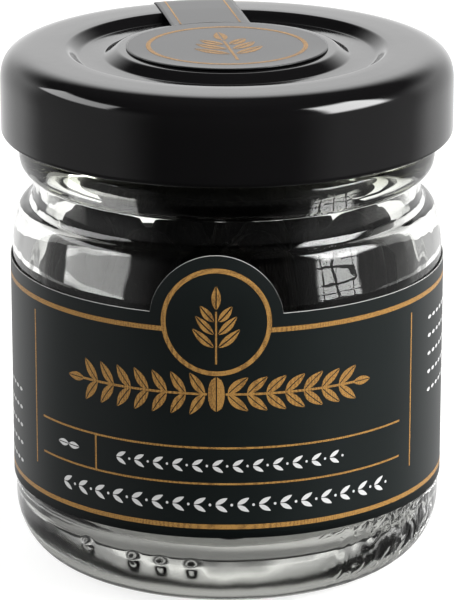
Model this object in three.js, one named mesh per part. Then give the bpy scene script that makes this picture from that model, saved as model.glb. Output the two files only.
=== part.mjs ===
// A small round glass spice jar, closed with a black twist-off lid and filled with whole tonka beans.
// Millimetres, +Z up. The origin is the centre of the circle that the jar stands on, and -Y is the front.
// The lid turns anticlockwise to open, and its lugs climb the glass threads as it turns.

import * as THREE from "three";

// Round pieces
const turnedSides = 48;

// Glass, outside
const bodyRadius = 21.63;
const heelRadius = 16.8; // where the heel meets the flat bearing ring
const heelHeight = 6;
const bearingInnerRadius = 15.4;
const pushUpHeight = 1.3;
const shoulderFoot = 30.6;
const shoulderTop = 36.6;
const shoulderRoundness = 2.44; // exponent of the shoulder's superellipse
const grooveTopRadius = 20;
const grooveRadius = 19.45;
const beadRadius = 20.85;
const beadHeight = 41.6;
const beadHalfHeight = 1.6;
const finishRadius = 20.2;
const rimTop = 50.8;

// Glass, inside
const innerRadius = 19.4;
const floorHeight = 4.2;
const floorCorner = 4.4;
const mouthRadius = 17.9;
const innerShoulderFoot = 30.2;
const innerShoulderTop = 38.2;

// Threads on the glass and lugs in the lid
const threadCount = 4;
const threadLead = 7.8; // rise in one full turn
const threadSpan = 60; // degrees
const threadStart = -11; // degrees, from the middle of the lug that it holds
const threadRadius = 21.3;
const threadFoot = 45.15; // underside of the thread over the middle of the closed lug
const threadHeight = 1.95;
const threadFade = 8; // degrees in which an end sinks into the glass
const lugHalfAngle = 8; // degrees, of the lug's flat
const lugFade = 7.5; // degrees on each side
const lugTipRadius = 20.65;
const firstLugAngle = 37.5; // degrees from the front

// Lid
const lidRadius = 22.6;
const lidBottom = 43.65;
const lidSheet = 0.3;
const lidCrestHeight = 52.05;
const lidShoulder = { radial: 3.4, vertical: 3.35, roundness: 2.8 }; // a superellipse from the crest to the skirt
const crestInnerRadius = 16;
const lidChannelOuter = 14.75;
const lidChannelInner = 12.25;
const lidChannelHeight = 51.25;
const buttonRadius = 10.9;
const buttonHeight = 52;
const curlRadius = 0.5;
const curlInnerRadius = 21.65;

// Sealing ring under the lid's crest
const linerInnerRadius = 18;
const linerOuterRadius = 20.3;
const linerBottom = 50.87;
const linerTop = 51.42;

// Wrap-round paper label, with an arch at the front
const labelGap = 0.08;
const labelThickness = 0.14;
const labelBottom = 8.2;
const labelTop = 31;
const labelHalfLength = 64; // along the glass, from the middle of the front
const labelCentre = -0.033; // radians from the front
const archAlong = -0.32; // the arch and its ring stand a little left of the label's centre
const archRadius = 6.5;
const archCentreHeight = 30.2;
const labelBendHeight = 31.5; // above it the paper leans in over the glass shoulder
const labelBend = 0.03;

// Round paper sticker on the lid, with a strip over the back edge
const stickerRadius = 10.05;
const stickerBottom = 52.03;
const paperThickness = 0.14;
const stripWidth = 8.1;
const stripAngle = 10; // degrees from +Y towards -X
const stripEnd = 44.4;
const discFrontCut = 8; // degrees round the disc, where its narrow front end is cut square

// Tonka beans
const outerBeans = 8;
const innerBeans = 3;
const outerBeanCircle = 14;
const innerBeanCircle = 5;
const outerBeanTurn = 0.12; // radians from the front to the first outer bean
const innerBeanTurn = 0.6;
const lyingBeans = [
  { length: 27.5, width: 9.6, across: -10.2, turn: 3 },
  { length: 33, width: 9.3, across: 0, turn: -2 },
  { length: 27, width: 9.6, across: 10.2, turn: 4 },
]; // across the tops of the standing beans, in the neck
const lyingThickness = 6.2;
const lyingFoot = 38.95;
const beanSeed = 20431;
const beanSides = 16;
const beanRings = 11;
const beanRidges = 7;
const beanRest = 0.12; // clear of the glass floor

const degree = Math.PI / 180;
const pieces = new THREE.Group();

function finish(color, roughness, metalness = 0, extra = {}) {
  return new THREE.MeshStandardMaterial({ color, roughness, metalness, ...extra });
}

function addPiece(name, geometry, material) {
  const mesh = new THREE.Mesh(geometry, material);
  mesh.name = name;
  pieces.add(mesh);
}

// A point at an angle from the front (-Y), turning towards +X, at a radius and a height.
function around(angle, radius, height) {
  return new THREE.Vector3(radius * Math.sin(angle), -radius * Math.cos(angle), height);
}

// Points of a quarter ellipse about a centre, from one angle to another, as [radius, height] pairs.
function arc(centreRadius, centreHeight, radial, vertical, from, to, steps) {
  return Array.from({ length: steps + 1 }, (_, i) => {
    const a = (from + ((to - from) * i) / steps) * degree;
    return [centreRadius + radial * Math.cos(a), centreHeight + vertical * Math.sin(a)];
  });
}

// A solid of even section turned about Z, from a profile of [radius, height] pairs that runs anticlockwise.
function turned(profile) {
  const points = profile.map(([radius, height]) => new THREE.Vector2(radius, height));
  return new THREE.LatheGeometry(points, turnedSides).rotateX(Math.PI / 2);
}

// A solid turned about Z whose profile may change with the angle. It runs anticlockwise from axis to axis.
function shapedTurning(profileAt) {
  const points = [];
  const faces = [];
  const rows = profileAt(0).length;
  for (let i = 0; i < turnedSides; i++) {
    const angle = (2 * Math.PI * i) / turnedSides;
    const next = (i + 1) % turnedSides;
    profileAt(angle).forEach(([radius, height]) => points.push(around(angle, radius, height)));
    for (let j = 0; j + 1 < rows; j++) {
      const [low, high] = [j, j + 1];
      const [lowHere, lowNext] = low ? [i * rows + low, next * rows + low] : [0, 0];
      const atEnd = high === rows - 1;
      const [highHere, highNext] = atEnd ? [high, high] : [i * rows + high, next * rows + high];
      if (low) faces.push(lowHere, lowNext, highHere);
      if (!atEnd) faces.push(lowNext, highNext, highHere);
    }
  }
  return new THREE.BufferGeometry().setFromPoints(points).setIndex(faces);
}

// A closed skin through loops of equal length, with a fan over the first loop and the last.
function skin(loops) {
  const sides = loops[0].length;
  const points = loops.flat();
  const faces = [];
  for (let i = 0; i + 1 < loops.length; i++)
    for (let j = 0; j < sides; j++) {
      const k = (j + 1) % sides;
      const [a, b] = [i * sides + j, i * sides + k];
      faces.push(a, b, a + sides, b, b + sides, a + sides);
    }
  for (const last of [false, true]) {
    const start = last ? (loops.length - 1) * sides : 0;
    const centre = points.length;
    points.push(middle(points.slice(start, start + sides)));
    for (let j = 0; j < sides; j++) {
      const [a, b] = [start + j, start + ((j + 1) % sides)];
      faces.push(...(last ? [a, b, centre] : [b, a, centre]));
    }
  }
  const geometry = new THREE.BufferGeometry().setFromPoints(points);
  return geometry.setIndex(faces);
}

function middle(points) {
  const sum = new THREE.Vector3();
  points.forEach((p) => sum.add(p));
  return sum.divideScalar(points.length);
}

// Superellipse shoulder, from its top at the groove out and down to the body.
function shoulderProfile(steps) {
  return Array.from({ length: steps + 1 }, (_, i) => {
    const a = (i / steps) * (Math.PI / 2);
    const out = Math.sin(a) ** (2 / shoulderRoundness);
    const down = 1 - Math.cos(a) ** (2 / shoulderRoundness);
    const radius = grooveTopRadius + (bodyRadius - grooveTopRadius) * out;
    return [radius, shoulderTop - (shoulderTop - shoulderFoot) * down];
  });
}

// Inner shoulder: a cosine blend from the wall to the mouth.
function innerShoulder(steps) {
  return Array.from({ length: steps + 1 }, (_, i) => {
    const share = i / steps;
    const blend = (1 - Math.cos(Math.PI * share)) / 2;
    const height = innerShoulderTop + (innerShoulderFoot - innerShoulderTop) * share;
    return [mouthRadius + (innerRadius - mouthRadius) * blend, height];
  });
}

// How far round the angle lies from the middle of the nearest lug, in degrees, from the thread's start on.
function fromLug(angle) {
  const spacing = 360 / threadCount;
  const turn = angle / degree - firstLugAngle - threadStart;
  return (((turn % spacing) + spacing) % spacing) + threadStart;
}

// The four threads climb anticlockwise. Between two of them the rows come down again over plain glass.
function threadRows(angle) {
  const along = fromLug(angle);
  const end = threadStart + threadSpan;
  const gap = 360 / threadCount - threadSpan;
  const climb = along <= end ? along : end - (threadSpan * (along - end)) / gap;
  const foot = threadFoot + (climb / 360) * threadLead;
  const inside = Math.min(along - threadStart, end - along) / threadFade;
  const out = (threadRadius - finishRadius) * Math.min(1, Math.max(0, inside));
  return [
    [finishRadius, foot],
    [finishRadius + out * 0.85, foot + 0.35],
    [finishRadius + out, foot + 0.7],
    [finishRadius + out, foot + 1.05],
    [finishRadius, foot + threadHeight],
  ];
}

function glassProfile(angle) {
  const rimRound = 0.9;
  return [
    [0, pushUpHeight],
    [8, pushUpHeight * 0.8],
    [13, pushUpHeight * 0.4],
    [bearingInnerRadius, 0],
    ...arc(heelRadius, heelHeight, bodyRadius - heelRadius, heelHeight, -90, 0, 6),
    ...shoulderProfile(6).reverse(),
    [grooveRadius + 0.1, shoulderTop + 0.6],
    [grooveRadius, shoulderTop + 1.6],
    [grooveRadius + 0.15, beadHeight - beadHalfHeight - 0.3],
    ...arc(grooveTopRadius, beadHeight, beadRadius - grooveTopRadius, beadHalfHeight, -90, 60, 4),
    [finishRadius, beadHeight + beadHalfHeight],
    ...threadRows(angle),
    ...arc(finishRadius - rimRound, rimTop - rimRound, rimRound, rimRound, 0, 90, 2),
    ...arc(mouthRadius + rimRound, rimTop - rimRound, rimRound, rimRound, 90, 180, 2),
    ...innerShoulder(4),
    ...arc(innerRadius - floorCorner, floorHeight + floorCorner, floorCorner, floorCorner, 0, -90, 4),
    [0, floorHeight],
  ];
}

// The hem's inner radius: the rolled hem is pressed inwards to make each lug.
function hemInnerRadius(angle) {
  const spacing = 360 / threadCount;
  const turn = angle / degree - firstLugAngle;
  const away = Math.abs(turn - spacing * Math.round(turn / spacing));
  const press = Math.min(1, Math.max(0, 1 - (away - lugHalfAngle) / lugFade));
  return curlInnerRadius - (curlInnerRadius - lugTipRadius) * press;
}

// Superellipse from the lid's crest down to its skirt, moved out from the lid's outer face by an offset.
function lidShoulderProfile(offset, steps) {
  const { radial, vertical, roundness } = lidShoulder;
  return Array.from({ length: steps + 1 }, (_, i) => {
    const a = (i / steps) * (Math.PI / 2);
    const radius = lidRadius - radial + (radial + offset) * Math.sin(a) ** (2 / roundness);
    return [radius, lidCrestHeight - vertical + (vertical + offset) * Math.cos(a) ** (2 / roundness)];
  });
}

function lidProfile(angle) {
  const hem = hemInnerRadius(angle);
  return [
    [0, buttonHeight],
    [buttonRadius, buttonHeight],
    [buttonRadius + 0.25, buttonHeight - 0.1],
    [lidChannelInner - 0.2, lidChannelHeight + 0.1],
    [lidChannelInner, lidChannelHeight],
    [lidChannelOuter, lidChannelHeight],
    [lidChannelOuter + 0.25, lidChannelHeight + 0.1],
    [crestInnerRadius - 0.25, lidCrestHeight - 0.1],
    [crestInnerRadius, lidCrestHeight],
    ...lidShoulderProfile(0, 7),
    ...arc(lidRadius - curlRadius, lidBottom + curlRadius, curlRadius, curlRadius, 0, -90, 3),
    [hem + 0.15, lidBottom + 0.15],
    [hem, lidBottom + curlRadius],
    [hem + 0.1, lidBottom + 0.95],
    [lidRadius - lidSheet, lidBottom + 1.3],
    ...lidShoulderProfile(-lidSheet, 5).reverse(),
    [crestInnerRadius + 0.1, lidCrestHeight - lidSheet],
    [lidChannelOuter + 0.15, lidChannelHeight - lidSheet],
    [lidChannelInner - 0.1, lidChannelHeight - lidSheet],
    [buttonRadius, buttonHeight - lidSheet],
    [0, buttonHeight - lidSheet],
  ].reverse();
}

// The paper's inner radius: on the glass at first, then leaning in over the shoulder.
function labelInner(height) {
  const above = Math.max(0, height - labelBendHeight);
  return bodyRadius + labelGap - labelBend * above * above;
}

// How high the label reaches at a distance along the glass from the middle of its front.
function labelEdge(along) {
  const aside = along - archAlong;
  if (Math.abs(aside) >= archRadius) return labelTop;
  return Math.max(labelTop, archCentreHeight + Math.sqrt(archRadius ** 2 - aside ** 2));
}

function labelGeometry() {
  const foot = Math.sqrt(archRadius ** 2 - (labelTop - archCentreHeight) ** 2);
  const archSteps = 12;
  const arch = Array.from({ length: archSteps + 1 }, (_, i) => archAlong - foot * Math.cos((Math.PI * i) / archSteps));
  const plainSteps = 17;
  const besideArch = foot + 0.05;
  const side = (end, near) => Array.from({ length: plainSteps }, (_, i) => end + ((near - end) * i) / (plainSteps - 1));
  const stations = [
    ...side(-labelHalfLength, archAlong - besideArch),
    ...arch,
    ...side(labelHalfLength, archAlong + besideArch).reverse(),
  ];
  const shares = [0, 0.8, 0.88, 0.94, 1];
  const loops = stations.map((along) => {
    const angle = labelCentre + along / bodyRadius;
    const heights = shares.map((share) => labelBottom + share * (labelEdge(along) - labelBottom));
    const inner = heights.map((h) => around(angle, labelInner(h), h));
    const outer = heights.map((h) => around(angle, labelInner(h) + labelThickness, h));
    return [...inner, ...outer.reverse()];
  });
  return skin(loops);
}

// The seal's path, seen from the side: [distance along the lid, height] of its underside, from the disc's front edge
// back over the crest and down the skirt.
function sealPath() {
  const lift = 0.05;
  const discSteps = 16;
  const discEnd = 180 - Math.asin(stripWidth / 2 / stickerRadius) / degree;
  const disc = Array.from({ length: discSteps + 1 }, (_, i) => {
    const a = (discFrontCut + ((discEnd - discFrontCut) * i) / discSteps) * degree;
    return [-stickerRadius * Math.cos(a), stickerBottom];
  });
  return [
    ...disc,
    [buttonRadius, buttonHeight + lift],
    [crestInnerRadius, lidCrestHeight + lift],
    ...lidShoulderProfile(lift, 8),
    [lidRadius + lift, stripEnd],
  ];
}

// The seal is one sheet: as wide as the disc's chord at first, then as wide as the strip. Past the disc, a point keeps
// its distance from the axis, so that the strip lies on the round skirt.
function sealGeometry() {
  const sideSteps = 6;
  const path = sealPath();
  const loops = path.map(([reach, height], index) => {
    const before = path[Math.max(index - 1, 0)];
    const after = path[Math.min(index + 1, path.length - 1)];
    const [along, up] = [after[0] - before[0], after[1] - before[1]];
    const length = Math.hypot(along, up);
    const onDisc = height === stickerBottom;
    const chord = 2 * Math.sqrt(Math.max(0, stickerRadius ** 2 - reach ** 2));
    const width = onDisc ? chord : stripWidth;
    const row = (offset) =>
      Array.from({ length: sideSteps + 1 }, (_, i) => {
        const side = width * (i / sideSteps - 0.5);
        const out = onDisc ? reach : reach - (up / length) * offset;
        const y = onDisc ? out : Math.sqrt(out * out - side * side);
        return new THREE.Vector3(side, y, height + (onDisc ? 1 : along / length) * offset);
      });
    return [...row(paperThickness), ...row(0).reverse()];
  });
  return skin(loops).rotateZ(stripAngle * degree);
}

// Seeded draws from 0 to 1, the same on every run.
function seededDraws(seed) {
  let state = seed;
  return () => {
    state = (state * 16807) % 2147483647;
    return state / 2147483647;
  };
}

// A bean stands along Z: a long lens section, tapered ends, a slight bow, and ridges that wander along it.
function beanGeometry(size, draw) {
  const { length, width, thickness, bow } = size;
  const phase = draw() * 2 * Math.PI;
  const drift = (draw() - 0.5) * 1.6;
  const loops = [];
  for (let i = 0; i < beanRings; i++) {
    const t = -Math.cos((Math.PI * (i + 0.5)) / beanRings);
    const swell = (1 - Math.abs(t) ** 2.6) ** 0.5 * (1 - 0.06 * t);
    const loop = [];
    for (let j = 0; j < beanSides; j++) {
      const a = (2 * Math.PI * j) / beanSides;
      const ridge = Math.cos(beanRidges * a + phase + drift * t) * 0.6 + Math.cos(3 * a - phase + 2 * t) * 0.4;
      const scale = swell * (1 - 0.045 + 0.045 * ridge);
      const x = (width / 2) * Math.cos(a) * scale;
      const y = (thickness / 2) * Math.sin(a) * scale + bow * (1 - t * t) - bow / 2;
      loop.push(new THREE.Vector3(x, y, (length / 2) * t));
    }
    loops.push(loop);
  }
  return skin(loops);
}

// A bean's skin is brown to black, a little different on each.
function addBean(number, geometry, draw) {
  const shade = new THREE.Color().setHSL(0.06, 0.35, 0.055 + 0.02 * draw());
  addPiece("bean_" + String(number).padStart(2, "0"), geometry, finish(shade, 0.6));
}

// Outer beans stand shoulder to shoulder round the wall, all leaning the same way, and inner ones fill the middle.
function addStandingBeans(draw) {
  const total = outerBeans + innerBeans;
  for (let i = 0; i < total; i++) {
    const outer = i < outerBeans;
    const size = {
      length: outer ? 33.4 + 1.2 * draw() : 33.8 + 0.5 * draw(),
      width: outer ? 9.9 + 0.3 * draw() : 8.5 + 0.2 * draw(),
      thickness: outer ? 8.2 + 0.5 * draw() : 8.1 + 0.3 * draw(),
      bow: outer ? -0.5 * draw() : 0,
    };
    const geometry = beanGeometry(size, draw);
    const lean = outer ? 5 + 1.2 * draw() : 4;
    geometry.rotateY(lean * degree);
    const place = outer ? i / outerBeans : (i - outerBeans) / innerBeans;
    const circle = outer ? outerBeanCircle : innerBeanCircle;
    geometry.computeBoundingBox();
    const lift = floorHeight + beanRest - geometry.boundingBox.min.z + (outer ? 0 : 0.4 * draw());
    geometry.translate(0, -circle, lift);
    geometry.rotateZ(place * 2 * Math.PI + (outer ? outerBeanTurn : innerBeanTurn));
    addBean(i + 1, geometry, draw);
  }
}

// Three more lie side by side across the tops of the standing ones.
function addLyingBeans(draw) {
  lyingBeans.forEach(({ length, width, across, turn }, i) => {
    const geometry = beanGeometry({ length, width, thickness: lyingThickness, bow: 0 }, draw);
    geometry.rotateZ(Math.PI / 2).rotateY(Math.PI / 2);
    geometry.computeBoundingBox();
    geometry.translate(0, across, lyingFoot - geometry.boundingBox.min.z).rotateZ(turn * degree);
    addBean(outerBeans + innerBeans + i + 1, geometry, draw);
  });
}

const glassFinish = finish(0xdfe6dc, 0.05, 0, { transparent: true, opacity: 0.35 });

addPiece("glass_jar", shapedTurning(glassProfile), glassFinish);
addPiece("lid_shell", shapedTurning(lidProfile), finish(0x0a0a0b, 0.22, 0.3));
addPiece(
  "lid_liner",
  turned([
    [linerInnerRadius, linerBottom],
    [linerOuterRadius, linerBottom],
    [linerOuterRadius, linerTop],
    [linerInnerRadius, linerTop],
    [linerInnerRadius, linerBottom],
  ]),
  finish(0xb9b4aa, 0.6),
);
addPiece("lid_seal", sealGeometry(), finish(0x26272b, 0.5));
addPiece("jar_label", labelGeometry(), finish(0x1d2024, 0.5));
const beanDraws = seededDraws(beanSeed);
addStandingBeans(beanDraws);
addLyingBeans(beanDraws);

export default pieces;
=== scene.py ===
# A small round glass spice jar with a black twist-off lid and a dark paper label, full of tonka beans.
# Shapes are worked out in millimetres and go into the meshes in metres. +Z is up, and the front faces -Y.
import math

import bpy
import numpy as np
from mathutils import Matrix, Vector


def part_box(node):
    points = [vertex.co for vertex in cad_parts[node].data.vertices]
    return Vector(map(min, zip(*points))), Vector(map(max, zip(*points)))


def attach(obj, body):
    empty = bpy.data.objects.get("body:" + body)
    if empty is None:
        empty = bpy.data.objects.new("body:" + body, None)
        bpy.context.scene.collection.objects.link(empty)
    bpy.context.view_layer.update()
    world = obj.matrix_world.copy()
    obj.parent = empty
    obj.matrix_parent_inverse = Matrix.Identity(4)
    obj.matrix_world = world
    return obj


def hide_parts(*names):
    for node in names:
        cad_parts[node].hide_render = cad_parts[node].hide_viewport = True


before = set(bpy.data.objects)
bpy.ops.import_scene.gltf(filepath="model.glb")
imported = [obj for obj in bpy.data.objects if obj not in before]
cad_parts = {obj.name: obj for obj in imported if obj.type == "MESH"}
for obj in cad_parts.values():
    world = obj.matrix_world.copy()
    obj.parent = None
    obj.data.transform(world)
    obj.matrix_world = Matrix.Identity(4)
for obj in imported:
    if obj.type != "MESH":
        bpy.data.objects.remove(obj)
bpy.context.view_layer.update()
print("frame loaded:", len(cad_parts), "solids")

millimetre = 0.001


# Shapes as whole arrays

def around(angle, radius, height):
    # (r sin a, -r cos a, h): an angle from the front, turning towards +X.
    angle, radius, height = np.broadcast_arrays(angle, radius, height)
    return np.stack([radius * np.sin(angle), -radius * np.cos(angle), height], axis=-1)


def arc(centreRadius, centreHeight, radial, vertical, start, end, steps=24):
    # Centre plus (radial cos a, vertical sin a), with a running from start to end in degrees.
    a = np.radians(np.linspace(start, end, steps + 1))
    return np.stack([centreRadius + radial * np.cos(a), centreHeight + vertical * np.sin(a)], axis=-1)


def smoothStep(x, low, high):
    # 0 below low, 1 above high, and 3t^2 - 2t^3 between them.
    t = np.clip((x - low) / (high - low), 0, 1)
    return t * t * (3 - 2 * t)


def softened(outline, rounding, longStep, turnStep, fineStep=None):
    # The outline at an even small step, averaged over a bell as wide as rounding, then thinned: rows lie
    # longStep apart on straight runs, turnStep (radians) apart on bends, and fineStep(r, h) apart at most.
    small = 0.02
    run = np.r_[0, np.cumsum(np.hypot(*np.diff(outline, axis=0).T))]
    even = np.arange(0, run[-1], small)
    r, h = np.interp(even, run, outline[:, 0]), np.interp(even, run, outline[:, 1])
    reach = int(4 * rounding / small)
    bell = np.exp(-0.5 * (np.arange(-reach, reach + 1) * small / rounding) ** 2)
    bell /= bell.sum()
    r = np.r_[2 * r[0] - r[reach:0:-1], r, 2 * r[-1] - r[-2:-reach - 2:-1]]  # the axis stays at radius 0
    h = np.r_[h[reach:0:-1], h, h[-2:-reach - 2:-1]]
    r, h = np.convolve(r, bell, "valid"), np.convolve(h, bell, "valid")
    step = np.hypot(np.diff(r), np.diff(h))
    heading = np.unwrap(np.arctan2(np.diff(h), np.diff(r)))
    most = np.full(len(step), longStep) if fineStep is None else np.minimum(longStep, fineStep(r[1:], h[1:]))
    count = np.r_[0, np.cumsum(step / most + np.abs(np.diff(heading, append=heading[-1])) / turnStep)]
    rows = np.linspace(0, count[-1], int(count[-1]) + 2)
    return np.interp(rows, count, r), np.interp(rows, count, h)


def gridFaces(rows, columns, wrapRows=False, wrapColumns=False):
    # One quad for each step of a grid: (i, j), (i, j + 1), (i + 1, j + 1), (i + 1, j).
    i = np.arange(rows if wrapRows else rows - 1)[:, None]
    j = np.arange(columns if wrapColumns else columns - 1)[None, :]
    low, high = i * columns, (i + 1) % rows * columns
    right = (j + 1) % columns
    return np.stack([low + j, low + right, high + right, high + j], axis=-1).reshape(-1, 4)


def ringFaces(rows, columns):
    # Rings one above the other, with a fan of triangles at either end round a pole; the two poles come last.
    j = np.arange(columns)
    k = (j + 1) % columns
    pole, top = np.full(columns, rows * columns), (rows - 1) * columns
    lower = np.stack([pole, k, j], axis=-1)
    upper = np.stack([top + j, top + k, pole + 1], axis=-1)
    return [gridFaces(rows, columns, wrapColumns=True), lower, upper]


def turnedShape(radii, heights, angles):
    # The first and the last row are poles on the axis, one point each.
    rings = around(angles[None, :], radii[1:-1], heights[1:-1]).reshape(-1, 3)
    poles = around(0, 0, heights[[0, -1], 0])
    return np.vstack([rings, poles]), ringFaces(len(radii) - 2, len(angles))


def sheetShape(outer, inner):
    # A thin sheet as one tube of section: up the outside and down the inside, and a strip over either end.
    tube = np.concatenate([outer, inner[:, ::-1]], axis=1)
    stations, section = tube.shape[:2]
    k = np.arange(section // 2 - 1)
    end = np.stack([k, section - 1 - k, section - 2 - k, k + 1], axis=-1)
    faces = [gridFaces(stations, section, wrapColumns=True), end[:, ::-1], end + (stations - 1) * section]
    return tube.reshape(-1, 3), faces


def makePiece(name, points, faces, finishes, body, slotName, stands=(), finishOf=None):
    # Faces are turned round together if their volume about the middle of the jar comes out negative.
    centre = np.array([0, 0, 23])
    corners = [points[f] - centre for f in faces]
    volume = sum(
        np.einsum("ij,ij->", c[:, 0], np.cross(c[:, k], c[:, k + 1]))
        for c in corners for k in range(1, c.shape[1] - 1)
    )
    if volume < 0:
        faces = [f[:, ::-1] for f in faces]
    mesh = bpy.data.meshes.new(name)
    mesh.from_pydata((points * millimetre).tolist(), [], [face for f in faces for face in f.tolist()])
    mesh.polygons.foreach_set("use_smooth", np.ones(len(mesh.polygons), dtype=bool))
    if finishOf is not None:
        mesh.polygons.foreach_set("material_index", finishOf.astype(np.int32))
    for finish in finishes:
        mesh.materials.append(finish)
    mesh.update()
    piece = bpy.data.objects.new(name, mesh)
    bpy.context.scene.collection.objects.link(piece)
    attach(piece, body)
    if stands:
        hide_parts(*stands)
    return piece


# Finishes from nodes

def newFinish(name, colour, roughness, **sockets):
    # A Principled shader with its own sockets set; the tree and the shader come back for more nodes.
    finish = bpy.data.materials.new(name)
    finish.use_nodes = True
    tree = finish.node_tree
    shader = tree.nodes["Principled BSDF"]
    shader.inputs["Base Color"].default_value = (*colour, 1)
    shader.inputs["Roughness"].default_value = roughness
    for socket, value in sockets.items():
        shader.inputs[socket.replace("_", " ")].default_value = value
    return finish, tree, shader


def addNode(tree, kind, values=None, **settings):
    # A node with its settings; values are numbers for its inputs or sockets to link to them.
    node = tree.nodes.new(kind)
    for setting, value in settings.items():
        setattr(node, setting, value)
    for socket, value in (values or {}).items():
        if isinstance(value, bpy.types.NodeSocket):
            tree.links.new(value, node.inputs[socket])
        else:
            node.inputs[socket].default_value = value
    return node


def maths(tree, operation, *values):
    return addNode(tree, "ShaderNodeMath", dict(enumerate(values)), operation=operation).outputs[0]


def rangeOf(tree, value, low, high, start=0.0, end=1.0):
    # A smooth rise from start to end as the value goes from low to high.
    values = {"Value": value, "From Min": low, "From Max": high, "To Min": start, "To Max": end}
    return addNode(tree, "ShaderNodeMapRange", values, interpolation_type="SMOOTHSTEP").outputs["Result"]


def placeOn(tree, stretch=(1, 1, 1)):
    # The piece's own coordinates, in millimetres, stretched along an axis where stretch is under 1.
    place = addNode(tree, "ShaderNodeTexCoord").outputs["Object"]
    scale = tuple(s / millimetre for s in stretch)
    return addNode(tree, "ShaderNodeMapping", {"Vector": place, "Scale": scale}).outputs["Vector"]


def noiseOn(tree, place, size, detail=2.0, distortion=0.0):
    # Cloudy grain whose lumps are about size millimetres across.
    values = {"Vector": place, "Scale": 1 / size, "Detail": detail, "Distortion": distortion}
    return addNode(tree, "ShaderNodeTexNoise", values).outputs["Fac"]


def mixColours(tree, share, first, second):
    node = addNode(tree, "ShaderNodeMix", data_type="RGBA")
    for index, value in ((0, share), (6, first), (7, second)):
        if isinstance(value, bpy.types.NodeSocket):
            tree.links.new(value, node.inputs[index])
        else:
            node.inputs[index].default_value = value if index == 0 else (*value, 1)
    return node.outputs[2]


def bumpFrom(tree, shader, height, strength, depth):
    # Depth is in millimetres.
    values = {"Height": height, "Strength": strength, "Distance": depth * millimetre}
    tree.links.new(addNode(tree, "ShaderNodeBump", values).outputs["Normal"], shader.inputs["Normal"])


# Camera: level with the top of the lid's far edge, looking a little down

cameraSetup = {"place": (0, -0.35905, 0.13946), "pitch": 17.593, "lens": 222.57}


def placeCamera(setup):
    camera = bpy.data.objects.new("camera", bpy.data.cameras.new("camera"))
    bpy.context.scene.collection.objects.link(camera)
    camera.location = setup["place"]
    camera.rotation_euler = (math.radians(90 - setup["pitch"]), 0, 0)
    camera.data.lens = setup["lens"]
    camera.data.sensor_width = 36
    camera.data.clip_start = 0.01
    bpy.context.scene.camera = camera


placeCamera(cameraSetup)
print("camera placed")


# Room: a white sweep behind, a dark room in front, and a window on either side

room = {
    "front": 0.035, "side": 0.42, "back": 0.9, "behind": 0.5, "above": 0.02, "below": 0.25,
    # where each begins and where it is whole, in degrees away from the front
    "sideFrom": (32, 62), "backFrom": (104, 128), "behindFrom": (146, 172),
    # the same in degrees above the level
    "behindFoot": (-10, 2), "sweepTop": (16, 38), "tableEdge": (-30, -18),
    "leftWindow": {"across": (-120, -66), "up": (25, 42), "light": 6.5, "soft": 2},
    "rightSky": {"across": (54, 92), "up": (20, 52), "light": 20.0, "soft": 4},
    # these two are only seen through the glass, off its inner wall, and don't light the beans
    "leftWall": {"across": (-104, -58), "up": (-9, 60), "light": 7.0, "soft": 2},
    "rightWindow": {"across": (53, 82), "up": (-9, 60), "light": 13.0, "soft": 2},
    # the slanted bar on the left wall: degrees up for each degree across, where it lies, the light it adds
    "barSlant": 0.16, "slantedBar": (-14, -8), "slantedLight": 1.3,
    # the glazing bars of the right window: pitch across and up, width as a share, light in them, crookedness
    "barEvery": (9.5, 7.0), "barWidth": 0.16, "barLight": 0.03, "barWobble": 12.0, "wobbleScale": 3.0,
    # soft light on matt surfaces only, less of it from behind
    "fill": 0.75, "fillBehind": 0.3, "fillFades": (60, 150),
    # for rays that have passed through glass the room above the level is dimmer, with a glow from the sides
    "throughGlass": {"dim": 0.2, "dimFrom": (-15, -2), "glow": 0.2, "glowFrom": (22, 60)},
}


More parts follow.
